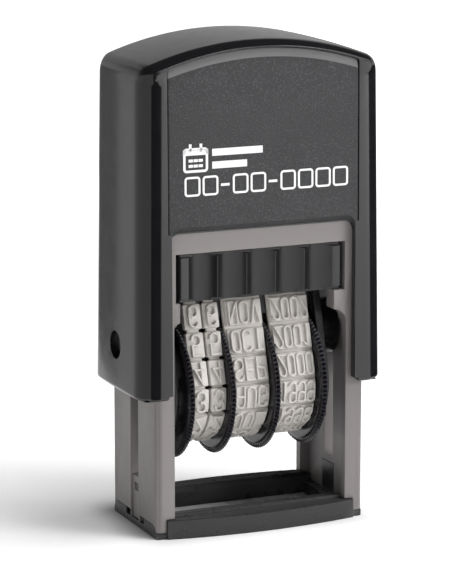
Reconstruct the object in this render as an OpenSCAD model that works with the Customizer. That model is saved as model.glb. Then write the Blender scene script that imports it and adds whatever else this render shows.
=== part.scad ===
// Self-inking date stamp: a sprung cap slides down over a frame and turns the
// type over, from the ink pad to the paper. Millimetres, Z up, front is -Y,
// origin at the centre of the foot, on the paper.

/* [Cap] */
// Width of the cap across its wings
cap_w = 38.2; // [37.5:0.1:39]
// Depth of the cap at the wing ends
cap_d = 20; // [20:0.1:21]
// Height of the whole stamp at rest
total_h = 71.1; // [70:0.1:73]
// Height of the wing ends above the paper at rest
wing_z = 20.6; // [20:0.1:21]
// Radius of the arched top
arch_r = 48; // [40:1:70]
// Radius of the shoulders beside the arch
shoulder_r = 3.2; // [2:0.1:4]
// Plan radius of the cap's upright corners
cap_corner_r = 2.6; // [1.5:0.1:3]
// Thickness of the cap's side walls
cap_wall = 1.6; // [1.4:0.1:1.8]

/* [Panels] */
// Width of the two panels
panel_w = 29.4; // [29:0.1:29.6]
// Height of the panels' lower lip above the paper at rest
panel_z = 44.4; // [44.2:0.1:45]

/* [Frame] */
// Width across the legs
frame_w = 32.4; // [32:0.1:32.6]
// Depth of the legs
frame_d = 17; // [16.8:0.1:17]
// Thickness of the leg sides
leg_wall = 1.55; // [1.5:0.05:1.6]
// Height of the frame's top rim
frame_top = 46; // [45:0.1:47]

/* [Carrier] */
// Height of the pivot above the paper at rest
pivot_z = 27.1; // [27:0.1:27.2]
// Distance from the pivot up to the face of the type
type_reach = 8.9; // [8.8:0.05:8.9]
// Distance from the pivot down to the wheel axle
axle_drop = 7; // [6.9:0.05:7.1]
// Travel of the cap from rest to print
stroke = 18.1; // [18:0.1:18.1]

/* [Bands and wheels] */
// Outer radius of a band round its hub
band_r = 8.3; // [8.2:0.05:8.4]
// Number of character rows on a band
rows = 16; // [14:1:16]
// Outer radius of the thumbwheels
wheel_r = 10.2; // [10:0.1:10.3]
// Number of teeth on a thumbwheel's rim
wheel_teeth = 96; // [60:4:120]

/* [Hidden] */
$fn = 64;

eps = 0.01;

// cap
wing_half_w = cap_w / 2;
wing_half_d = cap_d / 2;
side_draft = 0.012;
face_draft = 0.012;
arch_z = total_h - arch_r;
roof_t = 1.2;
window_half_w = panel_w / 2 - 0.6;
strip_foot_z = wing_z + 0.5;
inner_half_d = frame_d / 2 + 0.25;
seat_z = 68.6;
seat_r = 6;
cup_r = 5.8;
cup_bore_r = 4.8;
cup_z = 66.2;
rib_face_x = frame_w / 2 + 0.2;
rib_y = 5.6;
rib_w = 1.2;

// pivot and its bores
pin_r = 1.35;
pivot_bore_r = 1.4;
recess_r = 2.05;
recess_x = wing_half_w - 0.95;
boss_r = 3.4;

// frame
leg_x = frame_w / 2;
leg_y = frame_d / 2;
leg_in_x = leg_x - leg_wall;
leg_corner_r = 0.8;
flange_x = 13.35;
flange_y = leg_y - 1.4;
leg_foot_z = 0.95;
flange_foot_z = 2.85;
slot_half_w = 1.45;
slot_low_z = pivot_z - stroke - pin_r - 0.3;
slot_high_z = pivot_z + pin_r + 0.4;
window_top_z = 41.2;
shelf_low_z = 31.3;
shelf_z = 34.15;
shelf_y = 5.95;
shelf_left_x = 12.45;
shelf_right_x = 11.4;
deck_z = 41.3;
deck_t = 1.6;
post_r = 3.2;
post_z = 49.4;

// foot
foot_t = leg_foot_z;
bar_z = 2.8;
rim_z = 3.25;
rim_w = 1.3;
foot_window_x = 13.3;
foot_window_y = 6;
bar_half_w = 14.65;
bar_end_y = 8.9;
bow = 1.4;
bow_r = (bar_half_w * bar_half_w + bow * bow) / (2 * bow);
ear_z = 1.95;
ear_in_y = 3.4;
ear_out_y = 6.9;
ear_x = leg_in_x;
slit_in_y = 1.75;
latch_x = 15.35;
latch_z = 6.25;
latch_half_w = 2;
tooth_z = 5.15;
tooth_half_w = 1;

// cassette and pad
cassette_x = 12.4;
guide_x = 13.1;
cassette_y = 8.45;
cassette_z = 34.2;
cassette_top_z = 41.1;
tray_x = 11.4;
tray_y = 6.6;
pad_z = pivot_z + type_reach + 0.15;
pad_top_z = 39.8;
flute_count = 5;
flute_pitch = 4.48;
flute_r = 3.6;
flute_depth = 0.75;
face_step = 0.45;

// carrier
type_z = pivot_z + type_reach;
axle_z = pivot_z - axle_drop;
cam_q = 3;
cam_pin_r = 0.8;
cam_track_half_w = 0.95;
cam_track_depth = 0.3;
cheek_inset = 0.9;
cheek_top_z = 33.9;
cheek_boss_r = 4.1;
boss_face_x = leg_in_x - 0.15;
cam_tip_x = leg_in_x + cam_track_depth - 0.05;
axle_r = 1;
axle_bore_r = 1.05;
left_cheek_x = [-13, -12.1];
right_cheek_x = [10.2, 11.3];
platen_low_z = 30.6;

// bands: a loop round the hub and round the two edges of the platen bar
edge_r = 2;
edge_y = 2.4;
edge_z = type_z - edge_r;
band_t = 1.4;
row_groove_w = 0.35;
row_groove_depth = 0.4;
rise = edge_z - axle_z;
span = sqrt(edge_y * edge_y + rise * rise);
lean = asin((band_r - edge_r) / span) - atan(edge_y / rise);
run = sqrt(span * span - pow(band_r - edge_r, 2));
corner_len = edge_r * (90 - lean) * PI / 180;
hub_len = band_r * (90 + lean) * PI / 180;
half_loop = edge_y + corner_len + run + hub_len;
row_pitch = 2 * half_loop / rows;

// stack along X, from the left cheek to the right cheek
tens_band_x = [-10.45, -7.8];
units_band_x = [-7.45, -5.1];
month_band_x = [-4.25, 1.7];
year_band_x = [2.8, 9];
tens_disc_x = [-11.6, -10.5];
units_disc_x = [-5.05, -4.3];
month_disc_x = [1.75, 2.7];
year_disc_x = [9.05, 10.1];
tens_hub_x = [tens_disc_x[1] - eps, tens_band_x[1] + 0.1];
units_hub_x = [units_band_x[0] - 0.1, units_disc_x[0] + eps];
month_hub_x = [month_band_x[0], month_disc_x[0] + eps];
year_hub_x = [year_band_x[0], year_disc_x[0] + eps];
hub_r = band_r - band_t - 0.1;
tooth_depth = 0.5;

// return spring
spring_r = 4;
wire_r = 0.45;
spring_turns = 7;
spring_steps = 20;
wire_sides = 6;
spring_low_z = deck_z + deck_t;

// ---- helpers ----

// A drawing in Y and Z, pushed along X from x0 to x1
module along_x(x0, x1) {
    translate([x0, 0, 0])
        rotate([90, 0, 90])
            linear_extrude(x1 - x0)
                children();
}

// A drawing in X and Z, pushed along Y from y0 to y1
module along_y(y0, y1) {
    translate([0, y1, 0])
        rotate([90, 0, 0])
            linear_extrude(y1 - y0)
                children();
}

// A block from its low corner to its high corner
module block(low, high) {
    translate(low)
        cube(high - low);
}

// Both the child and its mirror image across X = 0
module both_sides() {
    children();
    mirror([1, 0, 0])
        children();
}

// Both the child and its mirror image across Y = 0
module front_and_rear() {
    children();
    mirror([0, 1, 0])
        children();
}

// A rectangle with round corners, centred
module round_rect(half_w, half_d, r) {
    square([2 * half_w, 2 * (half_d - r)], center = true);
    square([2 * (half_w - r), 2 * half_d], center = true);
    for (sx = [-1, 1], sy = [-1, 1])
        translate([sx * (half_w - r), sy * (half_d - r)])
            circle(r);
}

// Front outline of the cap, inset evenly from its outer skin
module cap_outline(inset) {
    foot_x = wing_half_w - inset;
    r = max(shoulder_r - inset, 0.6);
    shoulder_x = foot_x - side_draft * (total_h - 6 - wing_z) - r;
    reach = arch_r - inset - r;
    shoulder_z = arch_z + sqrt(reach * reach - shoulder_x * shoulder_x);
    turn = asin(shoulder_x / reach);
    cut_x = shoulder_x + r * sin(turn);
    cut_z = shoulder_z + r * cos(turn);
    intersection() {
        translate([0, arch_z])
            circle(arch_r - inset, $fn = 128);
        translate([-cut_x, shoulder_z])
            square([2 * cut_x, total_h]);
    }
    for (s = [-1, 1])
        translate([s * shoulder_x, shoulder_z])
            circle(r);
    polygon([
        [-foot_x, wing_z], [foot_x, wing_z],
        [shoulder_x + r, shoulder_z], [cut_x, cut_z],
        [-cut_x, cut_z], [-shoulder_x - r, shoulder_z]
    ]);
}

// Side outline of the cap: both faces lean in towards the top
module cap_side(inset) {
    low = wing_half_d - inset;
    high = low - face_draft * (total_h - wing_z);
    polygon([[-low, wing_z], [low, wing_z], [high, total_h], [-high, total_h]]);
}

// Outline of a panel and of its opening, from height z up
module panel_outline(gap, z) {
    intersection() {
        translate([0, arch_z])
            circle(arch_r - roof_t - gap, $fn = 128);
        translate([-panel_w / 2 + gap, z])
            square([panel_w - 2 * gap, total_h]);
    }
}

// Outline of a band's loop in Y and Z, inset evenly from its outer face
module loop_outline(inset) {
    hub = band_r - inset;
    edge = edge_r - inset;
    translate([0, axle_z])
        circle(hub, $fn = 96);
    for (s = [-1, 1])
        translate([s * edge_y, edge_z])
            circle(edge);
    polygon([
        [-hub * cos(lean), axle_z + hub * sin(lean)],
        [hub * cos(lean), axle_z + hub * sin(lean)],
        [edge_y + edge * cos(lean), edge_z + edge * sin(lean)],
        [edge_y, edge_z + edge],
        [-edge_y, edge_z + edge],
        [-edge_y - edge * cos(lean), edge_z + edge * sin(lean)]
    ]);
}

// Point and outward angle on a band's outer face, a distance s from its top
function loop_point(s) =
    s < edge_y ? [s, type_z, 90]
    : s < edge_y + corner_len ? corner_point((s - edge_y) / edge_r * 180 / PI)
    : s < edge_y + corner_len + run ? run_point(s - edge_y - corner_len)
    : hub_point((s - edge_y - corner_len - run) / band_r * 180 / PI);
function corner_point(a) =
    [edge_y + edge_r * sin(a), edge_z + edge_r * cos(a), 90 - a];
function run_point(d) =
    [edge_y + edge_r * cos(lean) + d * sin(lean),
     edge_z + edge_r * sin(lean) - d * cos(lean), lean];
function hub_point(a) =
    [band_r * cos(lean - a), axle_z + band_r * sin(lean - a), lean - a];

// One band: the loop with a groove between each two rows of characters
module band(x) {
    color("whitesmoke")
        along_x(x[0], x[1])
            difference() {
                loop_outline(0);
                loop_outline(band_t);
                for (side = [-1, 1], k = [0 : rows / 2 - 1])
                    let (p = loop_point((k + 0.5) * row_pitch))
                        translate([side * p[0], p[1]])
                            rotate(side > 0 ? p[2] : 180 - p[2])
                                square([2 * row_groove_depth, row_groove_w], center = true);
            }
}

// One thumbwheel: a toothed disc and the plain hub that its band runs on
module thumbwheel(disc_x, hub_x) {
    color([0.1, 0.1, 0.11])
        difference() {
            union() {
                along_x(disc_x[0], disc_x[1])
                    translate([0, axle_z])
                        polygon([
                            for (k = [0 : 2 * wheel_teeth - 1])
                                let (a = 180 * k / wheel_teeth, r = wheel_r - (k % 2) * tooth_depth)
                                    [r * cos(a), r * sin(a)]
                        ]);
                along_x(hub_x[0], hub_x[1])
                    translate([0, axle_z])
                        circle(hub_r);
            }
            along_x(disc_x[0] - 9, disc_x[1] + 9)
                translate([0, axle_z])
                    circle(axle_bore_r);
        }
}

// ---- fixed parts ----

// Path of a cam pin as the cap goes down and the carrier turns over
function cam_point(a) =
    [cam_q * sin(a), pivot_z - stroke * a / 180 - cam_q * cos(a)];
function cam_heading(a) =
    atan2(cam_q * sin(a) - stroke / PI, cam_q * cos(a));
function cam_side(a, w) =
    cam_point(a) + w * [-sin(cam_heading(a)), cos(cam_heading(a))];

// Curved track of the cam pins in the inner face of a leg
module cam_track() {
    polygon(concat(
        [for (a = [0 : 12 : 180]) cam_side(a, cam_track_half_w)],
        [for (a = [180 : -12 : 0]) cam_side(a, -cam_track_half_w)]
    ));
    for (a = [0, 180])
        translate(cam_point(a))
            circle(cam_track_half_w);
}

// Ear of the foot beside a leg, in Y and Z, with a round outer corner
module ear_outline(in_y) {
    translate([in_y, foot_t])
        square([ear_out_y - in_y, ear_z - foot_t]);
    intersection() {
        translate([ear_out_y, foot_t])
            circle(ear_z - foot_t);
        translate([ear_out_y, foot_t])
            square(ear_z);
    }
}

// One leg with its two flanges, from the foot to the top rim
module leg() {
    difference() {
        intersection() {
            union() {
                block([leg_in_x, -leg_y, leg_foot_z], [leg_x, leg_y, frame_top]);
                front_and_rear()
                    block([flange_x, flange_y, leg_foot_z], [leg_x, leg_y, frame_top]);
            }
            linear_extrude(total_h)
                round_rect(leg_x, leg_y, leg_corner_r);
        }
        // straight slot for the pivot pin
        block([leg_in_x - 1, -slot_half_w, slot_low_z], [leg_x + 1, slot_half_w, slot_high_z]);
        // shallow groove below it
        block([leg_x - 0.35, -slot_half_w, 0], [leg_x + 1, slot_half_w, slot_low_z + 1]);
        along_x(leg_in_x - 1, leg_in_x + cam_track_depth)
            cam_track();
        // pocket and window for the foot's latch
        block([leg_in_x - 1, -latch_half_w, 0], [latch_x, latch_half_w, latch_z]);
        block([leg_in_x - 1, -tooth_half_w, tooth_z], [leg_x + 1, tooth_half_w, latch_z]);
        // room for the foot's ears and for the slits beside them
        front_and_rear()
            along_x(ear_x, leg_x + 1)
                ear_outline(slit_in_y);
        // notches over the ends of the foot's bars
        front_and_rear()
            block([flange_x - 1, flange_y - 1, 0], [bar_half_w, leg_y + 1, flange_foot_z]);
        block([leg_in_x - 1, -flange_y, 0], [ear_x, flange_y, ear_z]);
    }
}

// Corner blocks that carry and guide the cassette on one side, with a round
// corner below each where it meets the leg's flange
module shelf(edge_x) {
    r = flange_x - edge_x;
    front_and_rear() {
        block([edge_x, shelf_y, shelf_low_z], [leg_in_x + eps, leg_y, shelf_z]);
        along_y(shelf_y, leg_y)
            difference() {
                translate([edge_x, shelf_low_z - r])
                    square(r + 0.1);
                translate([edge_x, shelf_low_z - r])
                    circle(r);
            }
        block([guide_x, shelf_y, shelf_z - eps], [leg_in_x + eps, leg_y, deck_z]);
    }
}

module inner_frame() {
    color([0.56, 0.54, 0.52]) {
        both_sides()
            leg();
        shelf(shelf_right_x);
        mirror([1, 0, 0])
            shelf(shelf_left_x);
        front_and_rear()
            block([-leg_in_x, flange_y, window_top_z], [leg_in_x, leg_y, frame_top]);
        block([-leg_in_x, -flange_y, deck_z], [leg_in_x, flange_y, deck_z + deck_t]);
        translate([0, 0, deck_z])
            cylinder(h = post_z - deck_z, r = post_r);
    }
}

module base_foot() {
    color([0.09, 0.09, 0.1]) {
        difference() {
            union() {
                linear_extrude(foot_t)
                    round_rect(leg_x, leg_y, 0.5);
                front_and_rear() {
                    linear_extrude(bar_z)
                        intersection() {
                            translate([0, bar_end_y + bow - bow_r])
                                circle(bow_r, $fn = 128);
                            translate([-bar_half_w, foot_window_y])
                                square([2 * bar_half_w, 6]);
                        }
                    block([-bar_half_w + 1, foot_window_y, 0],
                          [bar_half_w - 1, foot_window_y + rim_w, rim_z]);
                }
                both_sides()
                    block([foot_window_x, -flange_y, 0], [ear_x, flange_y, ear_z]);
            }
            block([-foot_window_x, -foot_window_y, -1], [foot_window_x, foot_window_y, 9]);
        }
        both_sides() {
            front_and_rear()
                along_x(ear_x, leg_x)
                    ear_outline(ear_in_y);
            block([leg_in_x, -latch_half_w, 0], [latch_x, latch_half_w, latch_z]);
            block([latch_x - eps, -tooth_half_w, tooth_z], [leg_x - 0.45, tooth_half_w, latch_z]);
        }
    }
}

module ink_cassette() {
    color([0.11, 0.11, 0.12])
        difference() {
            union() {
                block([-cassette_x, -cassette_y + face_step, cassette_z],
                      [cassette_x, cassette_y - face_step, cassette_top_z]);
                block([-cassette_x + 0.5, -cassette_y, cassette_z + 0.4],
                      [cassette_x - 0.5, cassette_y, cassette_top_z - 0.4]);
            }
            block([-tray_x, -tray_y, cassette_z - 1], [tray_x, tray_y, pad_top_z]);
            front_and_rear()
                for (k = [0 : flute_count - 1])
                    translate([(k - (flute_count - 1) / 2) * flute_pitch,
                               cassette_y - flute_depth + flute_r, cassette_z - 1])
                        cylinder(h = 9, r = flute_r);
        }
}

module ink_pad() {
    color([0.18, 0.15, 0.35])
        block([-tray_x, -tray_y, pad_z], [tray_x, tray_y, pad_top_z]);
}

// Corner of the wire's cross-section at a step along the coil
function coil_point(i, j, low, high) =
    let (a = 360 * i / spring_steps,
         b = 360 * j / wire_sides,
         r = spring_r + wire_r * cos(b),
         z = low + (high - low) * i / (spring_steps * spring_turns) + wire_r * sin(b))
        [r * cos(a), r * sin(a), z];

module return_spring() {
    n = spring_steps * spring_turns;
    low = spring_low_z + wire_r + 0.02;
    high = seat_z - wire_r - 0.02;
    color("silver")
        polyhedron(
            points = [for (i = [0 : n], j = [0 : wire_sides - 1]) coil_point(i, j, low, high)],
            faces = concat(
                [[for (j = [wire_sides - 1 : -1 : 0]) j]],
                [for (i = [0 : n - 1], j = [0 : wire_sides - 1])
                    let (a = i * wire_sides, b = a + wire_sides, k = (j + 1) % wire_sides)
                        [a + j, a + k, b + k, b + j]],
                [[for (j = [0 : wire_sides - 1]) n * wire_sides + j]]
            )
        );
}

// ---- parts of the cap ----

// Inner space of the cap, under the roof and between the walls
module cap_cavity() {
    intersection() {
        along_y(-inner_half_d, inner_half_d)
            difference() {
                translate([0, -eps])
                    cap_outline(cap_wall);
                translate([-seat_r, seat_z])
                    square([2 * seat_r, 9]);
            }
        block([-wing_half_w, -inner_half_d, 0], [wing_half_w, inner_half_d, total_h]);
    }
}

module cap_shell() {
    color([0.07, 0.07, 0.08])
        difference() {
            union() {
                difference() {
                    intersection() {
                        translate([0, 0, wing_z])
                            linear_extrude(total_h)
                                round_rect(wing_half_w, wing_half_d, cap_corner_r);
                        along_y(-wing_half_d, wing_half_d)
                            cap_outline(0);
                        along_x(-wing_half_w, wing_half_w)
                            cap_side(0);
                    }
                    cap_cavity();
                    block([-wing_half_w + cap_wall, -inner_half_d, wing_z - 1],
                          [wing_half_w - cap_wall, inner_half_d, wing_z + 1]);
                }
                // spring cup under the roof
                translate([0, 0, cup_z])
                    cylinder(h = seat_z - cup_z + eps, r = cup_r);
                both_sides() {
                    // guide ribs that run on the legs
                    front_and_rear()
                        block([rib_face_x, rib_y - rib_w / 2, wing_z + 1],
                              [wing_half_w - cap_wall + 0.1, rib_y + rib_w / 2, 62]);
                    // pivot boss
                    translate([rib_face_x, 0, pivot_z])
                        rotate([0, 90, 0])
                            cylinder(h = wing_half_w - cap_wall + 0.1 - rib_face_x, r = boss_r);
                }
            }
            translate([0, 0, cup_z - 1])
                cylinder(h = seat_z - cup_z + 1, r = cup_bore_r);
            // openings for the panels, and the narrower windows under them
            front_and_rear()
                along_y(inner_half_d - 0.12, wing_half_d + 1) {
                    panel_outline(0, panel_z - 0.1);
                    translate([-window_half_w, strip_foot_z])
                        square([2 * window_half_w, panel_z - strip_foot_z]);
                    translate([-panel_w / 2, wing_z - 1])
                        square([panel_w, strip_foot_z - wing_z + 1.01]);
                }
            both_sides() {
                translate([rib_face_x - 1, 0, pivot_z])
                    rotate([0, 90, 0])
                        cylinder(h = 9, r = pivot_bore_r);
                translate([recess_x, 0, pivot_z])
                    rotate([0, 90, 0])
                        cylinder(h = 9, r = recess_r);
            }
        }
}

// Panel in the front opening: outer face leans with the cap, lip bevelled
module panel() {
    face_y = wing_half_d - 0.08;
    bevel = 0.8;
    intersection() {
        along_x(-panel_w / 2, panel_w / 2)
            polygon([
                [-inner_half_d + 0.1, panel_z],
                [-inner_half_d - 0.1, panel_z],
                [-face_y + face_draft * (panel_z + bevel - wing_z), panel_z + bevel],
                [-face_y + face_draft * (total_h - wing_z), total_h],
                [-inner_half_d + 0.1, total_h]
            ]);
        along_y(-wing_half_d, wing_half_d)
            panel_outline(0.04, panel_z);
    }
}

module front_panel() {
    color([0.25, 0.25, 0.26])
        panel();
}

module rear_panel() {
    color([0.25, 0.25, 0.26])
        mirror([0, 1, 0])
            panel();
}

// ---- carrier ----

// Side plate of the carrier with its outer boss, cam pin and holes;
// out is 1 for the right cheek and -1 for the left
module cheek(plate_x, out) {
    face = out > 0 ? plate_x[1] : plate_x[0];
    difference() {
        union() {
            along_x(plate_x[0], plate_x[1])
                difference() {
                    loop_outline(cheek_inset);
                    translate([-band_r, cheek_top_z])
                        square([2 * band_r, 9]);
                }
            along_x(min(face, out * boss_face_x), max(face, out * boss_face_x))
                translate([0, pivot_z])
                    circle(cheek_boss_r);
            along_x(min(face, out * cam_tip_x), max(face, out * cam_tip_x))
                translate([0, pivot_z - cam_q])
                    circle(cam_pin_r);
        }
        along_x(min(plate_x[0], out * leg_x) - 1, max(plate_x[1], out * leg_x) + 1) {
            translate([0, pivot_z])
                circle(pin_r);
            translate([0, axle_z])
                circle(axle_r);
        }
        platen_bar_solid();
    }
}

module left_cheek() {
    color([0.08, 0.08, 0.09])
        cheek(left_cheek_x, -1);
}

module right_cheek() {
    color([0.08, 0.08, 0.09])
        cheek(right_cheek_x, 1);
}

// Bar inside the bands that backs the type, with a tenon in each cheek
module platen_bar_solid() {
    along_x(tens_band_x[0] - 0.05, year_band_x[1] + 0.05)
        intersection() {
            loop_outline(band_t + 0.1);
            translate([-band_r, platen_low_z])
                square([2 * band_r, 9]);
        }
    along_x(left_cheek_x[0], right_cheek_x[1])
        translate([-2.2, platen_low_z])
            square([4.4, 2.6]);
}

module platen_bar() {
    color([0.2, 0.2, 0.22])
        platen_bar_solid();
}

module wheel_axle() {
    color("silver")
        along_x(left_cheek_x[0], right_cheek_x[1])
            translate([0, axle_z])
                circle(axle_r);
}

// Push-in pivot pin from the recess in the cap's side into a cheek
module pivot_pin(inner_x) {
    color([0.16, 0.16, 0.17])
        difference() {
            translate([inner_x, 0, pivot_z])
                rotate([0, 90, 0])
                    cylinder(h = recess_x - 0.05 - inner_x, r = pin_r);
            translate([recess_x - 0.9, 0, pivot_z])
                rotate([0, 90, 0])
                    cylinder(h = 2, r = 0.55);
        }
}

module left_pivot_pin() {
    mirror([1, 0, 0])
        pivot_pin(-left_cheek_x[1]);
}

module right_pivot_pin() {
    pivot_pin(right_cheek_x[0]);
}

// ---- nodes ----

inner_frame();
base_foot();
ink_cassette();
ink_pad();
return_spring();
cap_shell();
front_panel();
rear_panel();
left_cheek();
right_cheek();
platen_bar();
wheel_axle();
left_pivot_pin();
right_pivot_pin();
band(tens_band_x);  // day_band_tens
band(units_band_x);  // day_band_units
band(month_band_x);  // month_band
band(year_band_x);  // year_band
thumbwheel(tens_disc_x, tens_hub_x);  // day_wheel_tens
thumbwheel(units_disc_x, units_hub_x);  // day_wheel_units
thumbwheel(month_disc_x, month_hub_x);  // month_wheel
thumbwheel(year_disc_x, year_hub_x);  // year_wheel
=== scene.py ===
import math

import bmesh
import bpy
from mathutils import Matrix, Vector


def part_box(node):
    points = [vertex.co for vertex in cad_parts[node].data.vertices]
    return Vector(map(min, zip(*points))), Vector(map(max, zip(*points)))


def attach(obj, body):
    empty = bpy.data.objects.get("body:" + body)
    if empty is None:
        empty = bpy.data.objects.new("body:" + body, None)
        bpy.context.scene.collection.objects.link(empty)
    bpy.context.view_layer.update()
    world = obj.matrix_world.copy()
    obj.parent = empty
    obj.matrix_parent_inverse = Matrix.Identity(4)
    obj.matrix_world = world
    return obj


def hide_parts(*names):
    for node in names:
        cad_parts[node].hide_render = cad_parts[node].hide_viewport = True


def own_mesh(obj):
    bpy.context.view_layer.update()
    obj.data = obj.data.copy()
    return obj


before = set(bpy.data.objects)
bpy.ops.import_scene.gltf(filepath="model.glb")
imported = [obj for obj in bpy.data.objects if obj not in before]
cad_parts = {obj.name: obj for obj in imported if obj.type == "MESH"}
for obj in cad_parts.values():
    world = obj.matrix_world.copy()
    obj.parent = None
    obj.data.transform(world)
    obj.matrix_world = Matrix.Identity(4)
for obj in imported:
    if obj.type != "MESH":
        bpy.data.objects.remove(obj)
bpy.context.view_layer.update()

# A self-inking date stamp. Lengths are in millimetres until a mesh is made; X is to
# the right, Y to the back, Z up, and the origin is under the middle of the foot.
MM = 0.001


def box_mm(*nodes):
    """Lowest and highest corner of some CAD nodes together, in millimetres."""
    boxes = [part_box(node) for node in nodes]
    low = [min(box[0][i] for box in boxes) / MM for i in range(3)]
    high = [max(box[1][i] for box in boxes) / MM for i in range(3)]
    return low, high


# ---- sizes ----

CAP_LOW, CAP_HIGH = box_mm("cap_shell")
HALF_W = CAP_HIGH[0]
HALF_D = CAP_HIGH[1]
WING_Z = CAP_LOW[2]
TOTAL_H = CAP_HIGH[2]
ARCH_R = 48             # arched top of the cap, seen from the front
ARCH_Z = TOTAL_H - ARCH_R
SHOULDER_R = 3.2        # where the arch meets the sides
SIDE_DRAFT = 0.012      # how much the sides lean in for each millimetre of height
FACE_DRAFT = 0.012      # the same for the front and rear faces
CAP_WALL = 1.6
ROOF_T = 1.2            # rim of the arch above the panel opening
INNER_HALF_D = 8.75     # inside of the front and rear walls
SEAT_Z = 68.6           # spring's seat under the roof

PANEL_LOW, PANEL_HIGH = box_mm("front_panel")
PANEL_HALF_W = PANEL_HIGH[0]
PANEL_Z = PANEL_LOW[2]
PANEL_BACK_Y = -PANEL_HIGH[1]
WINDOW_HALF_W = PANEL_HALF_W - 0.56     # window under the panel, between the wings' narrow strips
STRIP_FOOT_Z = WING_Z + 0.64            # lower end of those strips

BAND_LOW, BAND_HIGH = box_mm("day_band_tens")
AXLE_LOW, AXLE_HIGH = box_mm("wheel_axle")
TYPE_Z = BAND_HIGH[2]
AXLE_Z = (AXLE_LOW[2] + AXLE_HIGH[2]) / 2
BAND_R = AXLE_Z - BAND_LOW[2]
BAND_T = 1.4
EDGE_R = 2              # outer round of a band where it turns over the platen bar
EDGE_Y = 2.4            # half the flat stretch between those rounds
ROWS = 16


# ---- mesh helpers ----

def piece_from(name, verts, faces, material, angle=40):
    """A new object from points in millimetres, shaded smooth up to an angle between faces."""
    mesh = bpy.data.meshes.new(name)
    mesh.from_pydata([[c * MM for c in v] for v in verts], [], faces)
    return piece_from_mesh(name, mesh, material, angle)


def piece_from_mesh(name, mesh, material, angle=40):
    """A new object from a mesh in metres, with outward normals and smooth shading."""
    work = bmesh.new()
    work.from_mesh(mesh)
    bmesh.ops.recalc_face_normals(work, faces=work.faces)
    work.to_mesh(mesh)
    work.free()
    mesh.shade_smooth()
    mesh.set_sharp_from_angle(angle=math.radians(angle))
    mesh.materials.clear()
    mesh.materials.append(material)
    obj = bpy.data.objects.new(name, mesh)
    bpy.context.scene.collection.objects.link(obj)
    return obj


def even_normals(obj):
    """Keeps large flat faces flat beside small rounded edges."""
    normals = obj.modifiers.new("even_normals", "WEIGHTED_NORMAL")
    normals.keep_sharp = True
    normals.weight = 80
    return obj


def place(obj, body, slot, *nodes):
    """The piece rides on a body and stands for CAD nodes, which it hides; slot is not used."""
    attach(obj, body)
    if nodes:
        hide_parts(*nodes)
    return obj


def sweep(rings, closed_path):
    """Faces that join rings of equal length; an open run of rings gets an end face at each end."""
    count = len(rings[0])
    verts = [p for ring in rings for p in ring]
    faces = []
    last = len(rings) if closed_path else len(rings) - 1
    for i in range(last):
        a = i * count
        b = (i + 1) % len(rings) * count
        for j in range(count):
            k = (j + 1) % count
            faces.append((a + j, a + k, b + k, b + j))
    if not closed_path:
        faces.append(tuple(range(count)))
        faces.append(tuple((len(rings) - 1) * count + j for j in range(count)))
    return verts, faces


def arc(cx, cy, r, start, end, steps=8):
    """Points on part of a circle; angles in degrees, anticlockwise from the first axis."""
    turns = [math.radians(start + (end - start) * i / steps) for i in range(steps + 1)]
    return [(cx + r * math.cos(t), cy + r * math.sin(t)) for t in turns]


def join_parts(parts):
    """One list of points and faces from several."""
    verts, faces = [], []
    for part_verts, part_faces in parts:
        base = len(verts)
        verts += part_verts
        faces += [tuple(base + i for i in face) for face in part_faces]
    return verts, faces


DOUBLED = 0.02          # points of a stroke nearer than this are one point
STRETCH = 0.42          # longest stretch of a stroke between two points


def cleaned(points, closed):
    """The line without doubled points, with long stretches cut into short ones."""
    line = [Vector(points[0])]
    for p in points[1:] + ([points[0]] if closed else []):
        here = Vector(p)
        length = (here - line[-1]).length
        if length < DOUBLED:
            continue
        cuts = max(1, math.ceil(length / STRETCH))
        start = line[-1]
        line += [start.lerp(here, i / cuts) for i in range(1, cuts + 1)]
    if closed:
        line.pop()
    return line


def stroke_solid(points, closed, to_surface, width, height, soft):
    """A raised stroke along a line, with sloping sides and soft top edges. to_surface gives the
    place of a point of the line's plane at a height above it."""
    line = cleaned(points, closed)
    count = len(line)
    top, foot, sunk = width / 2, width / 2 + soft, -0.12
    profile = [
        (-foot, sunk), (-top, height - soft), (-top + soft, height),
        (top - soft, height), (top, height - soft), (foot, sunk),
    ]
    rings = []
    for i, here in enumerate(line):
        before = line[i - 1] if closed or i > 0 else here
        after = line[(i + 1) % count] if closed or i < count - 1 else here
        first = (here - before).normalized() if before != here else (after - here).normalized()
        second = (after - here).normalized() if after != here else first
        along = (first + second).normalized()
        side = Vector((-along[1], along[0]))
        stretch = min(1 / max(side.dot(Vector((-first[1], first[0]))), 0.1), 1.9)
        reach = Vector((0, 0))
        if not closed and i in (0, count - 1):
            reach = along * (-top if i == 0 else top)
        rings.append([to_surface(here + reach + side * (a * stretch), up) for a, up in profile])
    return sweep(rings, closed)


def rounded(node, material, width, segments=2, angle=28):
    """A copy of a CAD node's shape with its sharp edges rounded off, width in millimetres."""
    work = bmesh.new()
    work.from_mesh(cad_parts[node].data)
    bmesh.ops.remove_doubles(work, verts=work.verts, dist=1e-7)
    bmesh.ops.dissolve_limit(
        work, angle_limit=math.radians(0.5), verts=work.verts, edges=work.edges
    )
    sharp = [
        edge for edge in work.edges
        if len(edge.link_faces) == 2 and edge.calc_face_angle() > math.radians(angle)
    ]
    bmesh.ops.bevel(
        work, geom=sharp, offset=width * MM, segments=segments, profile=0.5,
        affect="EDGES", clamp_overlap=False,
    )
    mesh = bpy.data.meshes.new(node + "_shape")
    work.to_mesh(mesh)
    work.free()
    return even_normals(piece_from_mesh(node + "_moulded", mesh, material, 50))


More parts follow.
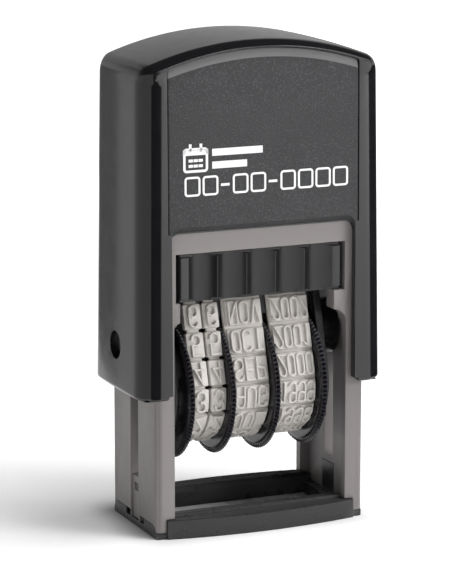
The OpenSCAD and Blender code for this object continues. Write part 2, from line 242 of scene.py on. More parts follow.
def combine(obj, tools, operation):
    """Adds solids to the piece, or cuts them out of it, then removes them."""
    for tool in tools:
        change = obj.modifiers.new(operation.lower(), "BOOLEAN")
        change.operation = operation
        change.solver = "EXACT"
        change.object = tool
    bpy.context.view_layer.update()
    result = bpy.data.meshes.new_from_object(
        obj.evaluated_get(bpy.context.evaluated_depsgraph_get())
    )
    obj.modifiers.clear()
    obj.data = result
    for tool in tools:
        bpy.data.objects.remove(tool)
    obj.data.shade_smooth()
    obj.data.set_sharp_from_angle(angle=math.radians(35))
    return obj


def block(low, high, material):
    """A plain box used to add to or cut another piece."""
    (x0, y0, z0), (x1, y1, z1) = low, high
    verts = [(x, y, z) for x in (x0, x1) for y in (y0, y1) for z in (z0, z1)]
    faces = [(0, 1, 3, 2), (4, 6, 7, 5), (0, 4, 5, 1), (2, 3, 7, 6), (0, 2, 6, 4), (1, 5, 7, 3)]
    return piece_from("tool", verts, faces, material)


def rod(start, end, r, material, sides=48):
    """A round rod between two points, used to add to or cut another piece."""
    axis = Vector(end) - Vector(start)
    turn = axis.to_track_quat("Z", "Y").to_matrix()
    rings = []
    for base in (Vector(start), Vector(end)):
        rings.append([
            tuple(base + turn @ Vector((r * math.cos(t), r * math.sin(t), 0)))
            for t in [2 * math.pi * i / sides for i in range(sides)]
        ])
    verts, faces = sweep(rings, False)
    return piece_from("tool", verts, faces, material)


# ---- materials ----

def surface(name, colour, rough, metal=0.0, coat=0.0, tone=0.08, tone_size=9.0, rough_spread=0.05,
            grain=0.25, grain_depth=0.004, speckle=0.0, edge=0.0, sheen=0.0, glow=0.0):
    """A moulded or metal surface. Sizes are in millimetres: tone_size of the slow change of shade,
    grain of the fine bumps, grain_depth how high they stand; speckle lightens the grain's tops and
    edge paints a highlight on sharp edges by lightening their colour."""
    mat = bpy.data.materials.new(name)
    mat.use_nodes = True
    tree = mat.node_tree
    add = tree.nodes.new
    link = tree.links.new
    shader = tree.nodes["Principled BSDF"]
    shader.inputs["Metallic"].default_value = metal
    shader.inputs["Coat Weight"].default_value = coat
    shader.inputs["Coat Roughness"].default_value = 0.08
    shader.inputs["Sheen Weight"].default_value = sheen
    shader.inputs["Emission Color"].default_value = (1, 1, 1, 1)
    shader.inputs["Emission Strength"].default_value = glow
    coords = add("ShaderNodeTexCoord")
    scale = add("ShaderNodeMapping")
    scale.inputs["Scale"].default_value = (1 / MM, 1 / MM, 1 / MM)
    link(coords.outputs["Object"], scale.inputs["Vector"])

    def noise(size, detail, roughness=0.5):
        tex = add("ShaderNodeTexNoise")
        tex.inputs["Scale"].default_value = 1 / size
        tex.inputs["Detail"].default_value = detail
        tex.inputs["Roughness"].default_value = roughness
        link(scale.outputs["Vector"], tex.inputs["Vector"])
        return tex.outputs["Fac"]

    def spread(fac, low, high, fac_low=0.3, fac_high=0.7):
        ranged = add("ShaderNodeMapRange")
        ranged.inputs["From Min"].default_value = fac_low
        ranged.inputs["From Max"].default_value = fac_high
        ranged.inputs["To Min"].default_value = low
        ranged.inputs["To Max"].default_value = high
        link(fac, ranged.inputs["Value"])
        return ranged.outputs["Result"]

    def mixed(fac, first, second):
        mix = add("ShaderNodeMix")
        mix.data_type = "RGBA"
        link(fac, mix.inputs[0])
        for socket, value in ((mix.inputs[6], first), (mix.inputs[7], second)):
            if isinstance(value, tuple):
                socket.default_value = (*value, 1)
            else:
                link(value, socket)
        return mix.outputs[2]

    slow = noise(tone_size, 3)
    fine = noise(grain, 4, 0.6)
    darker = tuple(c * (1 - tone) for c in colour)
    lighter = tuple(min(c * (1 + tone), 1) for c in colour)
    shade = mixed(spread(slow, 0, 1), darker, lighter)
    if speckle:
        bright = tuple(min(c * (1 + speckle) + 0.01 * speckle, 1) for c in colour)
        shade = mixed(spread(fine, 0, 1, 0.52, 0.7), shade, bright)
    # painted highlight: the colour is lightened along sharp, pointy edges
    if edge:
        geometry = add("ShaderNodeNewGeometry")
        edge_highlight = tuple(min(c * (1 + edge) + 0.02 * edge, 1) for c in colour)
        shade = mixed(spread(geometry.outputs["Pointiness"], 0, 1, 0.53, 0.62), shade, edge_highlight)
    link(shade, shader.inputs["Base Color"])
    uneven = spread(noise(tone_size / 5, 5), rough - rough_spread, rough + rough_spread)
    link(uneven, shader.inputs["Roughness"])
    bump = add("ShaderNodeBump")
    bump.inputs["Distance"].default_value = grain_depth * MM
    bump.inputs["Strength"].default_value = 1.0
    link(fine, bump.inputs["Height"])
    link(bump.outputs["Normal"], shader.inputs["Normal"])
    return mat


# edge on these surfaces paints highlights along their sharp edges, brightest on the wheels' beads
CAP_GLOSS = surface("cap_gloss", (0.008, 0.008, 0.009), 0.15, coat=0.25, grain=0.9,
                    grain_depth=0.0012, edge=0.6)
# The smooth strip under the arch is lighter grey, partly a painted highlight where the panel's
# rolled top catches the light; its smoothness is the panel's own.
STRIP_WITH_PAINTED_LIGHT = surface("panel_strip_painted_light", (0.14, 0.14, 0.14), 0.35, grain=0.22, grain_depth=0.006)
PANEL = surface("panel_plastic", (0.026, 0.026, 0.028), 0.5, grain=0.22, grain_depth=0.05,
                speckle=1.3)
PRINT = surface("panel_print", (0.86, 0.86, 0.86), 0.45, grain=0.12, grain_depth=0.002, tone=0.02)
FRAME = surface("frame_plastic", (0.181, 0.167, 0.164), 0.46, grain=0.16, grain_depth=0.006,
                edge=0.25)
FOOT = surface("foot_plastic", (0.014, 0.014, 0.015), 0.3, grain=0.2, grain_depth=0.006, edge=1.0)
CASSETTE = surface("cassette_plastic", (0.008, 0.008, 0.009), 0.34, grain=0.25,
                   grain_depth=0.003, edge=1.0)
FELT = surface("pad_felt", (0.02, 0.016, 0.05), 0.8, grain=0.12, grain_depth=0.06, speckle=0.8,
               sheen=0.3)
SPRING = surface("spring_steel", (0.55, 0.54, 0.52), 0.25, metal=1.0, grain=0.15, grain_depth=0.002)
CARRIER = surface("carrier_plastic", (0.004, 0.004, 0.005), 0.3, grain=0.2, grain_depth=0.006,
                  edge=0.8)
PLATEN = surface("platen_plastic", (0.03, 0.03, 0.034), 0.42, grain=0.2, grain_depth=0.006)
AXLE = surface("axle_steel", (0.5, 0.49, 0.47), 0.2, metal=1.0, grain=0.1, grain_depth=0.001)
PIN = surface("pin_plastic", (0.02, 0.02, 0.022), 0.38, grain=0.2, grain_depth=0.006, edge=0.8)
RUBBER = surface("band_rubber", (0.59, 0.565, 0.533), 0.5, grain=0.14, grain_depth=0.01, tone=0.05,
                 tone_size=3.0)
WHEEL = surface("wheel_plastic", (0.007, 0.006, 0.009), 0.22, grain=0.15, grain_depth=0.01,
                edge=1.5)


# ---- cap: a channel with round edges, bent over the arch ----

CORNER_R = 3.2          # round upright edges of the wings
CROWN_R = 1.0           # height of the round edge of the arched top
CROWN_REACH = 2.4       # depth of that edge, front to back
OPENING_EDGE = 0.18     # small round at the panel opening
WING_ROUND = 0.55       # round lower edges of the wings
BARREL = 0.12           # how far the cap's sides and top fall away toward their edges
WIDENING = 0.1          # height over which the opening widens from the window to the panel
CORNER_DROP = 2.5       # the opening's edge beside the shoulder starts this far under its corner
CORNER_ROUND = 0.5      # bevel across those corners


def half_depth(z):
    """Half the cap's depth at a height."""
    return HALF_D - FACE_DRAFT * (z - WING_Z)


def cap_stations():
    """Places along the cap's front outline, from the left wing's foot over the top to the right:
    (outer point, inward direction, point on the panel opening, edge radius)."""
    top_x = HALF_W - SIDE_DRAFT * (TOTAL_H - 6 - WING_Z) - SHOULDER_R
    reach = ARCH_R - SHOULDER_R
    top_z = ARCH_Z + math.sqrt(reach * reach - top_x * top_x)
    turn = math.degrees(math.asin(top_x / reach))
    open_r = ARCH_R - ROOF_T
    open_top = ARCH_Z + math.sqrt(open_r * open_r - PANEL_HALF_W * PANEL_HALF_W)
    open_turn = math.degrees(math.asin((PANEL_HALF_W - CORNER_ROUND) / open_r))
    left = []
    step = 0.02
    rows = 12
    window_h = PANEL_Z - WIDENING - STRIP_FOOT_Z
    panel_foot = PANEL_Z - WIDENING + step
    panel_h = open_top - CORNER_DROP - panel_foot
    heights = [(WING_Z, PANEL_HALF_W), (STRIP_FOOT_Z - step, PANEL_HALF_W)]
    heights += [(STRIP_FOOT_Z + window_h * i / rows, WINDOW_HALF_W) for i in range(rows + 1)]
    heights += [(panel_foot + panel_h * i / rows, PANEL_HALF_W) for i in range(rows + 1)]
    for open_z, open_x in heights:
        t = (open_z - WING_Z) / (heights[-1][0] - WING_Z)
        z = WING_Z + t * (top_z - WING_Z)
        x = -HALF_W + t * (HALF_W - top_x - SHOULDER_R)
        left.append(((x, z), (1, 0), (-open_x, open_z), CORNER_R))
    shoulder_steps = 12
    upright = 0.7           # share of the shoulder that faces the opening's upright edge
    corner_z = open_top - 0.2
    corner_rise = 0.35
    for i in range(1, shoulder_steps + 1):
        t = i / shoulder_steps
        a = math.radians(180 - t * (90 - turn))
        point = (-top_x + SHOULDER_R * math.cos(a), top_z + SHOULDER_R * math.sin(a))
        if t < upright:
            foot_z = open_top - CORNER_DROP
            opening = (-PANEL_HALF_W, foot_z + (corner_z - foot_z) * t / upright)
        else:
            b = (t - upright) / (1 - upright)
            opening = (-PANEL_HALF_W + CORNER_ROUND * b, corner_z + corner_rise * b)
        edge = CORNER_R + (CROWN_R - CORNER_R) * (3 * t * t - 2 * t ** 3)
        left.append((point, (-math.cos(a), -math.sin(a)), opening, edge))
    arch_steps = 28
    for i in range(1, arch_steps + 1):
        t = i / arch_steps
        a = math.radians(turn * (1 - t))
        b = math.radians(open_turn * (1 - t))
        point = (-ARCH_R * math.sin(a), ARCH_Z + ARCH_R * math.cos(a))
        opening = (-open_r * math.sin(b), ARCH_Z + open_r * math.cos(b))
        left.append((point, (math.sin(a), -math.cos(a)), opening, CROWN_R))
    right = [((-p[0], p[1]), (-n[0], n[1]), (-q[0], q[1]), r) for p, n, q, r in reversed(left[:-1])]
    return left + right


def cap_section(station, shrink=0.0):
    """Closed ring round the channel's wall at one station, drawn in by shrink."""
    (px, pz), (nx, nz), (qx, qz), edge = station

    def inward(a, y):
        return (px + nx * a, y, pz + nz * a)

    side = 1 if nx > 0 else -1
    half = []
    depth = half_depth(pz)
    crown = (CORNER_R - edge) / (CORNER_R - CROWN_R)
    reach = edge + (CROWN_REACH - CROWN_R) * crown
    for i in range(8):
        half.append(inward(shrink + BARREL * (i / 8) ** 2, -(depth - reach) * i / 8))
    tilt = math.atan(2 * BARREL / (depth - reach) * reach / edge)
    for i in range(13):
        t = tilt + (math.pi / 2 - tilt) * i / 12
        a = edge - (edge - BARREL) * math.cos(t) / math.cos(tilt) + shrink * math.cos(t)
        z = pz + nz * a
        half.append(inward(a, -(half_depth(z) - reach * (1 - math.sin(t)) - shrink * math.sin(t))))
    lip_x = qx - side * shrink
    face_y = -half_depth(qz) + shrink
    for i in range(3):
        t = math.radians(90 * i / 2)
        back = OPENING_EDGE * (1 - math.cos(t))
        short = OPENING_EDGE * (1 - math.sin(t))
        toward = Vector((px + nx * edge - qx, pz + nz * edge - qz)).normalized()
        half.append((lip_x + toward[0] * short, face_y + back, qz + toward[1] * short))
    half.append((lip_x, -INNER_HALF_D - shrink, qz))
    wall = CAP_WALL - shrink
    half.append(inward(wall, -INNER_HALF_D - shrink))
    half.append(inward(wall, -INNER_HALF_D / 2))
    rear = [(x, -y, z) for x, y, z in reversed(half[1:])]
    return half + [inward(wall, 0)] + rear


CUP_Z = 66.2            # rim of the cup round the spring's top
CUP_R = 5.8
CUP_INNER_R = 4.8
BOSS_R = 3.4            # boss round each pivot pin
PIVOT_BORE_R = 1.4
RECESS_R = 2.05         # wider mouth of the pivot bore in the cap's side
RECESS_DEPTH = 0.95
RIB_Y = 5.6             # guide ribs that run on the frame's legs
RIB_HALF_W = 0.6
RIB_TOP_Z = 62
RIB_GAP = 0.2


def cap_shell():
    """The housing, with the spring's cup, the pivot bosses and the guide ribs inside."""
    stations = cap_stations()
    rings = [cap_section(s) for s in stations[1:-1]]
    left_end, right_end = [], []
    for i in range(5):
        t = math.radians(90 * i / 4)
        up = WING_ROUND * (1 - math.sin(t))
        shrink = WING_ROUND * 0.9 * (1 - math.cos(t))
        for end, rounded_end in ((stations[0], left_end), (stations[-1], right_end)):
            (px, pz), inward, (qx, qz), edge = end
            raised = ((px, pz + up), inward, (qx, qz + up), edge)
            rounded_end.append(cap_section(raised, shrink))
    verts, faces = sweep(left_end[::-1] + rings + right_end, False)
    cap = piece_from("cap_shell_gloss", verts, faces, CAP_GLOSS)
    pivot_z = (box_mm("right_pivot_pin")[0][2] + box_mm("right_pivot_pin")[1][2]) / 2
    rib_face_x = box_mm("inner_frame")[1][0] + RIB_GAP
    overlap = 0.8
    added = [rod((0, 0, CUP_Z), (0, 0, SEAT_Z + overlap), CUP_R, CAP_GLOSS)]
    cut = [rod((0, 0, CUP_Z - 1), (0, 0, SEAT_Z), CUP_INNER_R, CAP_GLOSS)]
    for side in (-1, 1):
        wall_x = side * (HALF_W - CAP_WALL + 0.3)
        face_x = side * rib_face_x
        before, beyond = (face_x - side, 0, pivot_z), (face_x + 4 * side, 0, pivot_z)
        recess = (side * (HALF_W - RECESS_DEPTH), 0, pivot_z)
        added.append(rod((face_x, 0, pivot_z), (wall_x, 0, pivot_z), BOSS_R, CAP_GLOSS))
        cut.append(rod(before, beyond, PIVOT_BORE_R, CAP_GLOSS))
        cut.append(rod(recess, beyond, RECESS_R, CAP_GLOSS))
        for y in (-RIB_Y, RIB_Y):
            low = (min(face_x, wall_x), y - RIB_HALF_W, WING_Z + 1)
            high = (max(face_x, wall_x), y + RIB_HALF_W, RIB_TOP_Z)
            added.append(block(low, high, CAP_GLOSS))
    combine(cap, added, "UNION")
    combine(cap, cut, "DIFFERENCE")
    even_normals(cap)
    place(cap, "cap", "cap_gloss", "cap_shell")


# ---- front and rear panels ----

PANEL_GAP = 0.04
PANEL_RECESS = 0.08     # how far the face lies behind the cap's
PANEL_LIP = 0.8         # bevelled lower lip
LIP_DEPTH = 0.9
PANEL_CORNER_R = 1.3    # concave round where the lip meets the window's side
ROLL_W = 2.3            # strip beside the arch that rolls back
STRIP_W = 1.3           # smooth part of it, its lighter grey a painted highlight
ROLL_DEPTH = 0.35
PANEL_EDGE = 0.16       # small round at the sides and the arch
EDGE_DEPTH = 0.14
PANEL_SHADOW_STEP = 0.2        # dark step under the lip in black cap gloss, a painted shadow line


def panel_low_z(x):
    """Lower edge of a panel: level, and rounded down into the window's sides."""
    over = min(abs(x), WINDOW_HALF_W) - (WINDOW_HALF_W - PANEL_CORNER_R)
    if over <= 0:
        return PANEL_Z
    return PANEL_Z - PANEL_CORNER_R + math.sqrt(max(PANEL_CORNER_R ** 2 - over ** 2, 0))


def panel_face_y(x, z):
    """Depth of the front panel's outer face."""
    arch_gap = ARCH_R - ROOF_T - PANEL_GAP - math.hypot(x, z - ARCH_Z)
    side_gap = PANEL_HALF_W - PANEL_GAP - abs(x)
    low_gap = z - panel_low_z(x)
    roll = ROLL_DEPTH * max(1 - arch_gap / ROLL_W, 0) ** 2
    lip = LIP_DEPTH * max(1 - low_gap / PANEL_LIP, 0)
    edge = EDGE_DEPTH * max(1 - min(arch_gap, side_gap) / PANEL_EDGE, 0) ** 2
    return -(HALF_D - PANEL_RECESS - FACE_DRAFT * (z - WING_Z)) + roll + lip + edge


def panel(name, node, rear):
    """A panel as a grid of columns, each from the lower lip up to the arch. The columns are
    close together over the rounded side edge and the rounded lower corner."""
    half_w = PANEL_HALF_W - PANEL_GAP
    near_edge = [0, 0.05, 0.1, PANEL_EDGE, 0.35]
    near_edge += [0.52, 0.58, 0.66, 0.8, 1.0, 1.3, 1.56 + PANEL_GAP, 1.82]
    inner = half_w - near_edge[-1]
    middle = [-inner + 2 * inner * i / 36 for i in range(1, 36)]
    columns = [-half_w + d for d in near_edge] + middle + [half_w - d for d in reversed(near_edge)]
    above_lip = [0, 0.4, PANEL_LIP, PANEL_LIP + 0.1]
    below_arch = [3.2, ROLL_W, 1.8, 1.3, 0.9, 0.55, 0.3, PANEL_EDGE, 0.1, 0.05, 0]
    shadow_step_y = -PANEL_BACK_Y - 0.15
    verts = []
    for x in columns:
        low = panel_low_z(x)
        high = ARCH_Z + math.sqrt((ARCH_R - ROOF_T - PANEL_GAP) ** 2 - x * x)
        stops = [low + d for d in above_lip]
        even_low, even_high = low + above_lip[-1], high - below_arch[0]
        stops += [even_low + (even_high - even_low) * i / 12 for i in range(1, 12)]
        stops += [high - d for d in below_arch]
        # the step under the lip, in black cap gloss, is a painted shadow line below the lip
        verts += [(x, shadow_step_y, low - PANEL_SHADOW_STEP), (x, shadow_step_y, low)]
        verts += [(x, panel_face_y(x, z), z) for z in stops]
    rows = len(verts) // len(columns)
    last = len(columns) - 1
    strip_row = rows - len([d for d in below_arch if d <= STRIP_W])
    faces, skins = [], []
    for i in range(last):
        for j in range(rows - 1):
            here, there = i * rows + j, (i + 1) * rows + j
            faces.append((here, there, there + 1, here + 1))
            # skin 1, the smooth strip under the arch, is painted lighter as a highlight
            skins.append(2 if j < 2 else 1 if j >= strip_row else 0)
    rim = [i * rows for i in range(last)]
    rim += [last * rows + j for j in range(rows - 1)]
    rim += [i * rows + rows - 1 for i in range(last, 0, -1)]
    rim += [j for j in range(rows - 1, 0, -1)]
    base = len(verts)
    verts += [(verts[i][0], -PANEL_BACK_Y, verts[i][2]) for i in rim]
    for i in range(len(rim)):
        k = (i + 1) % len(rim)
        faces.append((rim[i], base + i, base + k, rim[k]))
    faces.append(tuple(base + i for i in range(len(rim))))
    if rear:
        verts = [(x, -y, z) for x, y, z in verts]
    obj = even_normals(piece_from(name, verts, faces, PANEL, 40))
    obj.data.materials.append(STRIP_WITH_PAINTED_LIGHT)
    # black cap gloss for the painted shadow step under the lip
    obj.data.materials.append(CAP_GLOSS)
    for face, skin in zip(obj.data.polygons, skins):
        face.material_index = skin
    place(obj, "cap", "panel_plastic", node)


PRINT_T = 0.025         # thickness of the print


def panel_print():
    """White pad print on the front panel: a calendar pictogram beside two rules, over a row of
    empty boxes for day, month and year."""
    parts = []

    def on_panel(p, up):
        return (p[0], panel_face_y(p[0], p[1]) - up, p[1])

    def line(points, closed, width):
        parts.append(stroke_solid(points, closed, on_panel, width, PRINT_T, 0.01))

    def box_line(x, z, w, h, width):
        r = 0.35
        points = arc(x + w - r, z + h - r, r, 90, 0, 4) + arc(x + w - r, z + r, r, 0, -90, 4)
        points += arc(x + r, z + r, r, 270, 180, 4) + arc(x + r, z + h - r, r, 180, 90, 4)
        line(points, True, width)

    # the pictogram: its outline, header, two rings and six days
    left, low, size = -12.2, 53.1, 3.4
    box_line(left, low, size, size - 0.3, 0.36)
    line([(left + 0.2, low + size - 0.75), (left + size - 0.2, low + size - 0.75)], False, 0.8)
    for x in (left + 0.9, left + size - 0.9):
        line([(x, low + size - 0.5), (x, low + size + 0.25)], False, 0.4)
    for i in range(3):
        for j in range(2):
            x = left + 0.95 + 0.75 * i
            line([(x - 0.12, low + 0.75 + 0.75 * j), (x + 0.12, low + 0.75 + 0.75 * j)], False, 0.4)
    rule_left, rule_w = left + 4.7, 1.0
    line([(rule_left, low + 2.5), (left + 11.4, low + 2.5)], False, rule_w)
    line([(rule_left, low + 0.7), (left + 9.0, low + 0.7)], False, rule_w)
    # the row of boxes, with a dash after the day and after the month
    box_w, box_h, gap, dash = 2.1, 2.5, 0.62, 0.95
    x, z = -12.05, 49.7
    for group in (2, 2, 4):
        for i in range(group):
            box_line(x, z, box_w, box_h, 0.3)
            x += box_w + gap
        if x < 8:
            line([(x + 0.1, z + box_h / 2), (x + 0.1 + dash, z + box_h / 2)], False, 0.36)
            x += dash + gap + 0.3
    verts, faces = join_parts(parts)
    place(piece_from("front_panel_print", verts, faces, PRINT, 30), "cap", "panel_print")


# ---- bands ----

TYPE_RISE = 0.42        # height of the type above its block
CHAR_H = 3.0            # height of a character between the middles of its strokes
STROKE = 0.27           # width of a stroke at its top
GROOVE_W = 0.32
GROOVE_DEPTH = 0.4
NOTCH_W = 0.42          # narrowing of a day band between two rows
LEDGES = (0.16, 0.06)   # edges of a wide band to the left and right of its blocks

RISE = TYPE_Z - EDGE_R - AXLE_Z
SPAN = math.hypot(EDGE_Y, RISE)
LEAN = math.asin((BAND_R - EDGE_R) / SPAN) - math.atan(EDGE_Y / RISE)
RUN = math.sqrt(SPAN ** 2 - (BAND_R - EDGE_R) ** 2)
CORNER_LEN = EDGE_R * (math.pi / 2 - LEAN)
HUB_LEN = BAND_R * (math.pi / 2 + LEAN)
HALF_LOOP = EDGE_Y + CORNER_LEN + RUN + HUB_LEN
PITCH = 2 * HALF_LOOP / ROWS


def loop_point(s, inset):
    """Y and Z on a band's loop: s is the way from the middle of its top towards the front,
    measured on the outer face, and inset is how far under that face."""
    s = (s + HALF_LOOP) % (2 * HALF_LOOP) - HALF_LOOP
    side = -1 if s >= 0 else 1
    s = abs(s)
    if s < EDGE_Y:
        y, z = s, TYPE_Z - inset
    elif s < EDGE_Y + CORNER_LEN:
        t = (s - EDGE_Y) / EDGE_R
        y = EDGE_Y + (EDGE_R - inset) * math.sin(t)
        z = TYPE_Z - EDGE_R + (EDGE_R - inset) * math.cos(t)
    elif s < EDGE_Y + CORNER_LEN + RUN:
        d = s - EDGE_Y - CORNER_LEN
        y = EDGE_Y + (EDGE_R - inset) * math.cos(LEAN) + d * math.sin(LEAN)
        z = TYPE_Z - EDGE_R + (EDGE_R - inset) * math.sin(LEAN) - d * math.cos(LEAN)
    else:
        t = LEAN - (s - EDGE_Y - CORNER_LEN - RUN) / BAND_R
        y = (BAND_R - inset) * math.cos(t)
        z = AXLE_Z + (BAND_R - inset) * math.sin(t)
    return side * y, z


def band_base(x0, x1, notched):
    """The rubber loop under the type: a block for each row with a groove between blocks."""
    rings = []
    for k in range(ROWS):
        start = (k - 0.5) * PITCH
        stops = [(0, 1), (GROOVE_W / 2, 1), (GROOVE_W / 2 + 0.1, 0.3), (GROOVE_W / 2 + 0.2, 0)]
        length = PITCH - GROOVE_W - 0.4
        stops += [(GROOVE_W / 2 + 0.2 + length * i / 8, 0) for i in range(1, 9)]
        stops += [(PITCH - GROOVE_W / 2 - 0.1, 0.3), (PITCH - GROOVE_W / 2, 1)]
        for offset, deep in stops:
            s = start + offset
            inset = TYPE_RISE + GROOVE_DEPTH * deep
            sides = []
            for width in LEDGES:
                if notched:
                    side = NOTCH_W * deep
                    sides.append([
                        (side, BAND_T), (side, inset + 0.1),
                        (side + 0.03, inset + 0.03), (side + 0.1, inset),
                    ])
                else:
                    ledge = TYPE_RISE + GROOVE_DEPTH
                    sides.append([
                        (0, BAND_T), (0, ledge + 0.05), (0.03, ledge), (width, ledge),
                        (width + 0.05, inset + 0.05), (width + 0.11, inset),
                    ])
            outline = [(x0 + x, depth) for x, depth in sides[0]]
            outline += [(x1 - x, depth) for x, depth in reversed(sides[1])]
            rings.append([(x, *loop_point(s, depth)) for x, depth in outline])
    return sweep(rings, True)


def character_lines(w, h):
    """Centre lines of each character in a cell w by h: (points, whether it closes)."""
    r = w / 2
    q = 0.42 * w
    mid = 0.52 * h
    bar = 0.44 * h

    def ring(low, high):
        return arc(r, high - r, r, 0, 180) + arc(r, low + r, r, 180, 360)

    def bowl(low, high):
        upper = arc(w - q, high - q, q, 90, 0, 5)
        return [(0, low), (0, high)] + upper + arc(w - q, low + q, q, 0, -90, 5)

    top = arc(r, h - r, r, 180, 0)
    foot = arc(r, r, r, 0, -180)
    return {
        "0": [(ring(0, h), True)],
        "1": [([(0.12 * w, h - 0.35 * w), (0.62 * w, h), (0.62 * w, 0)], False)],
        "2": [(top + [(w, 0.7 * h), (0, 0), (w, 0)], False)],
        "3": [(top + arc(r, mid + r, r, 0, -90), False), (arc(r, mid - r, r, 90, 0) + foot, False)],
        "4": [([(0.76 * w, 0), (0.76 * w, h), (0, 0.3 * h), (w, 0.3 * h)], False)],
        "5": [([(w, h), (0, h), (0, mid)] + arc(r, mid - r, r, 115, 0) + foot, False)],
        "6": [(ring(0, mid), True), (arc(r, h - r, r, 15, 180) + [(0, r)], False)],
        "7": [([(0, h), (w, h), (0.3 * w, 0)], False)],
        "8": [(ring(0, mid), True), (ring(mid, h), True)],
        "9": [(ring(h - mid, h), True), (arc(r, r, r, 195, 360) + [(w, h - r)], False)],
        "A": [([(0, 0), (0, h - r)] + arc(r, h - r, r, 180, 0)[1:] + [(w, 0)], False),
              ([(0, bar), (w, bar)], False)],
        "B": [(bowl(0, mid), True), (bowl(mid, h), True)],
        "C": [(arc(r, h - r, r, 10, 180) + arc(r, r, r, 180, 350), False)],
        "D": [(bowl(0, h), True)],
        "E": [([(w, h), (0, h), (0, 0), (w, 0)], False), ([(0, mid), (0.85 * w, mid)], False)],
        "F": [([(w, h), (0, h), (0, 0)], False), ([(0, mid), (0.85 * w, mid)], False)],
        "G": [(arc(r, h - r, r, 10, 180) + arc(r, r, r, 180, 360)
               + [(w, bar), (0.55 * w, bar)], False)],
        "J": [([(w, h)] + foot, False)],
        "L": [([(0, h), (0, 0), (w, 0)], False)],
        "M": [([(0, 0), (0, h), (r, 0.4 * h), (w, h), (w, 0)], False)],
        "N": [([(0, 0), (0, h), (w, 0), (w, h)], False)],
        "O": [(ring(0, h), True)],
        "P": [([(0, 0)] + bowl(bar, h)[1:] + [(0, bar)], False)],
        "R": [([(0, 0)] + bowl(bar, h)[1:] + [(0, bar)], False), ([(0.5 * w, bar), (w, 0)], False)],
        "S": [(arc(r, h - r, r, 0, 180) + arc(r, mid + r, r, 180, 270)[:-1]
               + arc(r, mid - r, r, 90, 0) + foot, False)],
        "T": [([(0, h), (w, h)], False), ([(r, h), (r, 0)], False)],
        "U": [([(0, h)] + arc(r, r, r, 180, 360) + [(w, h)], False)],
        "V": [([(0, h), (r, 0), (w, h)], False)],
        "Y": [([(0, h), (r, bar), (w, h)], False), ([(r, bar), (r, 0)], False)],
    }


def band(name, node, text_of_row, char_w, gap, notched):
    """A date band: its loop and the raised characters of each row."""
    low, high = box_mm(node)
    x0, x1 = low[0], high[0]
    cells = character_lines(char_w, CHAR_H)
    parts = [band_base(x0, x1, notched)]
    for k in range(-ROWS // 2 + 1, ROWS // 2 + 1):
        text = text_of_row(k)
        width = len(text) * char_w + (len(text) - 1) * gap
        for i, letter in enumerate(text):
            left = (x0 + x1 - width) / 2 + i * (char_w + gap)

            def to_band(p, up, left=left, k=k):
                s = k * PITCH + p[1] - CHAR_H / 2
                return (left + p[0], *loop_point(s, TYPE_RISE - up))

            for points, closed in cells[letter]:
                parts.append(stroke_solid(points, closed, to_band, STROKE, TYPE_RISE, 0.06))
    verts, faces = join_parts(parts)
    obj = piece_from(name, verts, faces, RUBBER, 32)
    place(obj, "carrier", "band_rubber", node)


MONTHS = ["JAN", "FEB", "MAR", "APR", "MAY", "JUN", "JUL", "AUG", "SEP", "OCT", "NOV", "DEC"]
TOP_DAY = 8             # what stands on the row at the top of each band
TOP_YEAR = 2004


def day_text(k):
    return str((TOP_DAY - k) % 10)


def month_text(k):
    """A month on twelve of the rows, January on the top one, and nothing on the other four."""
    return MONTHS[-k % 12] if k > -4 else ""


def year_text(k):
    return str(TOP_YEAR - k)


# ---- ink cassette ----

FLUTES = 5
FLUTE_PITCH = 4.48
FLUTE_R = 3.6
FLUTE_DEPTH = 0.75
TRAY_X, TRAY_Y, TRAY_TOP_Z = 11.4, 6.6, 39.8    # hollow under the cassette that holds the pad
CASSETTE_EDGE = 0.08
STEP_IN = 0.45          # rims above and below the flutes, set back from the face
STEP_H = 0.4


def cassette_outline(half_w, half_d, flute_y):
    """Plan outline of the cassette with its flutes; flute_y is how deep their bottoms lie."""
    front = [(-half_w, -half_d + 0.12), (-half_w + 0.12, -half_d)]
    reach = FLUTE_R - (half_d - flute_y)
    half_chord = math.degrees(math.acos(reach / FLUTE_R))
    for k in range(FLUTES):
        centre = (k - (FLUTES - 1) / 2) * FLUTE_PITCH
        cut = arc(centre, -half_d - reach, FLUTE_R, 90 + half_chord, 90 - half_chord, 14)
        front.append((cut[0][0] - 0.04, -half_d))
        front += cut
        front.append((cut[-1][0] + 0.04, -half_d))
    front += [(half_w - 0.12, -half_d), (half_w, -half_d + 0.12)]
    return front + [(-x, -y) for x, y in front]


